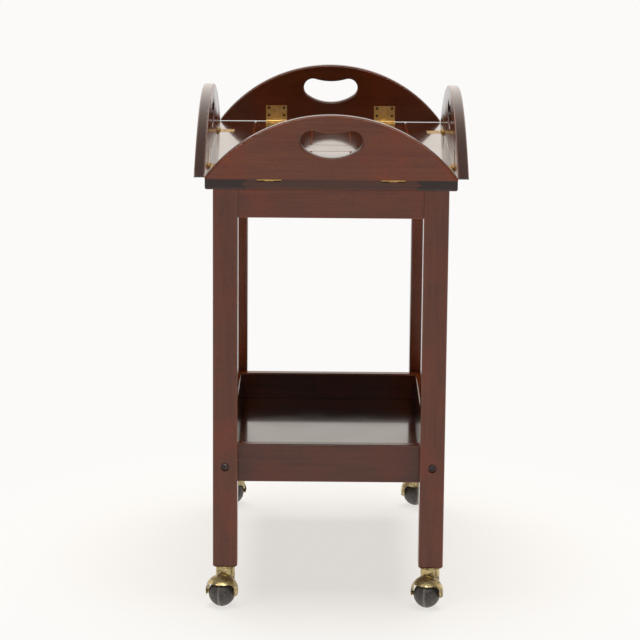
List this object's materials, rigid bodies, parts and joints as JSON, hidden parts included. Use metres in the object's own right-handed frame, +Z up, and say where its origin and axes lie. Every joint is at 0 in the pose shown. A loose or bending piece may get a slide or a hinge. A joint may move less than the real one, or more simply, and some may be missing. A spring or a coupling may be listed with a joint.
{
  "type": "tea trolley",
  "caption": "Tea trolley with a drop-side tray top, arched flaps with handholes, a shallow lower tray, square legs and hooded ball casters.",
  "frame": {"origin": "on the floor under the centre of the trolley", "axes": "+Z up, +Y along the long way to the rear, +X across to the right"},
  "size_m": [0.434, 0.697, 0.8175],
  "materials": {
    "stained_wood": "gloss lacquer",
    "raw_wood": "planed",
    "hinge_brass": "aged satin",
    "screw_brass": "darkened",
    "caster_brass": "aged polish",
    "black_rubber": "matt",
    "dark_steel": "satin",
    "bright_steel": "satin"
  },
  "bodies": {
    "frame": {"apron_front": "stained_wood", "apron_left": "stained_wood", "apron_rear": "stained_wood", "apron_right": "stained_wood", "barrel_nuts": "bright_steel", "caster_sockets": "caster_brass", "cleat_screws": "bright_steel", "frame_dowels": "raw_wood", "hinge_pins": "hinge_brass", "hinge_tray_leaves": "hinge_brass", "hinge_tray_screws": "screw_brass", "leg_front_left": "stained_wood", "leg_front_right": "stained_wood", "leg_rear_left": "stained_wood", "leg_rear_right": "stained_wood", "shelf_bolts": "dark_steel", "shelf_panel": "stained_wood", "shelf_rail_front": "stained_wood", "shelf_rail_left": "stained_wood", "shelf_rail_rear": "stained_wood", "shelf_rail_right": "stained_wood", "top_cleats": "raw_wood", "tray_cross_rail": "stained_wood", "tray_end_rail_front": "stained_wood", "tray_end_rail_rear": "stained_wood", "tray_infill_front_left": "stained_wood", "tray_infill_front_right": "stained_wood", "tray_infill_rear_left": "stained_wood", "tray_infill_rear_right": "stained_wood", "tray_muntins": "stained_wood", "tray_stile_left": "stained_wood", "tray_stile_right": "stained_wood"},
    "front_flap": {"flap_front": "stained_wood", "hinge_flap_leaves_front": "hinge_brass", "hinge_flap_screws_front": "screw_brass"},
    "rear_flap": {"flap_rear": "stained_wood", "hinge_flap_leaves_rear": "hinge_brass", "hinge_flap_screws_rear": "screw_brass"},
    "left_flap": {"flap_left": "stained_wood", "hinge_flap_leaves_left": "hinge_brass", "hinge_flap_screws_left": "screw_brass"},
    "right_flap": {"flap_right": "stained_wood", "hinge_flap_leaves_right": "hinge_brass", "hinge_flap_screws_right": "screw_brass"},
    "front_left_caster": {"caster_hood_front_left": "caster_brass", "caster_stem_front_left": "bright_steel", "caster_axle_front_left": "bright_steel"},
    "front_left_ball": {"caster_ball_front_left": "black_rubber"},
    "front_right_caster": {"caster_hood_front_right": "caster_brass", "caster_stem_front_right": "bright_steel", "caster_axle_front_right": "bright_steel"},
    "front_right_ball": {"caster_ball_front_right": "black_rubber"},
    "rear_left_caster": {"caster_hood_rear_left": "caster_brass", "caster_stem_rear_left": "bright_steel", "caster_axle_rear_left": "bright_steel"},
    "rear_left_ball": {"caster_ball_rear_left": "black_rubber"},
    "rear_right_caster": {"caster_hood_rear_right": "caster_brass", "caster_stem_rear_right": "bright_steel", "caster_axle_rear_right": "bright_steel"},
    "rear_right_ball": {"caster_ball_rear_right": "black_rubber"}
  },
  "joints": [
    {"name": "front_flap_hinge", "type": "hinge", "parent": "frame", "child": "front_flap", "pos_m": [0, -0.331, 0.713], "axis": [1, 0, 0], "range_deg": [0, 90]},
    {"name": "rear_flap_hinge", "type": "hinge", "parent": "frame", "child": "rear_flap", "pos_m": [0, 0.331, 0.713], "axis": [-1, 0, 0], "range_deg": [0, 90]},
    {"name": "left_flap_hinge", "type": "hinge", "parent": "frame", "child": "left_flap", "pos_m": [-0.1995, 0, 0.713], "axis": [0, -1, 0], "range_deg": [0, 90]},
    {"name": "right_flap_hinge", "type": "hinge", "parent": "frame", "child": "right_flap", "pos_m": [0.1995, 0, 0.713], "axis": [0, 1, 0], "range_deg": [0, 90]},
    {"name": "front_left_swivel", "type": "hinge", "parent": "frame", "child": "front_left_caster", "pos_m": [-0.168, -0.285, 0.065], "axis": [0, 0, 1], "continuous": true},
    {"name": "front_left_roll", "type": "hinge", "parent": "front_left_caster", "child": "front_left_ball", "pos_m": [-0.17301, -0.30436, 0.0222], "axis": [0.9681, -0.2504, 0], "continuous": true},
    {"name": "front_right_swivel", "type": "hinge", "parent": "frame", "child": "front_right_caster", "pos_m": [0.168, -0.285, 0.065], "axis": [0, 0, 1], "continuous": true},
    {"name": "front_right_roll", "type": "hinge", "parent": "front_right_caster", "child": "front_right_ball", "pos_m": [0.16266, -0.30427, 0.0222], "axis": [0.9636, -0.2672, 0], "continuous": true},
    {"name": "rear_left_swivel", "type": "hinge", "parent": "frame", "child": "rear_left_caster", "pos_m": [-0.168, 0.285, 0.065], "axis": [0, 0, 1], "continuous": true},
    {"name": "rear_left_roll", "type": "hinge", "parent": "rear_left_caster", "child": "rear_left_ball", "pos_m": [-0.17708, 0.30282, 0.0222], "axis": [-0.891, -0.454, 0], "continuous": true},
    {"name": "rear_right_swivel", "type": "hinge", "parent": "frame", "child": "rear_right_caster", "pos_m": [0.168, 0.285, 0.065], "axis": [0, 0, 1], "continuous": true},
    {"name": "rear_right_roll", "type": "hinge", "parent": "rear_right_caster", "child": "rear_right_ball", "pos_m": [0.16384, 0.30456, 0.0222], "axis": [-0.9781, -0.2079, 0], "continuous": true}
  ]
}
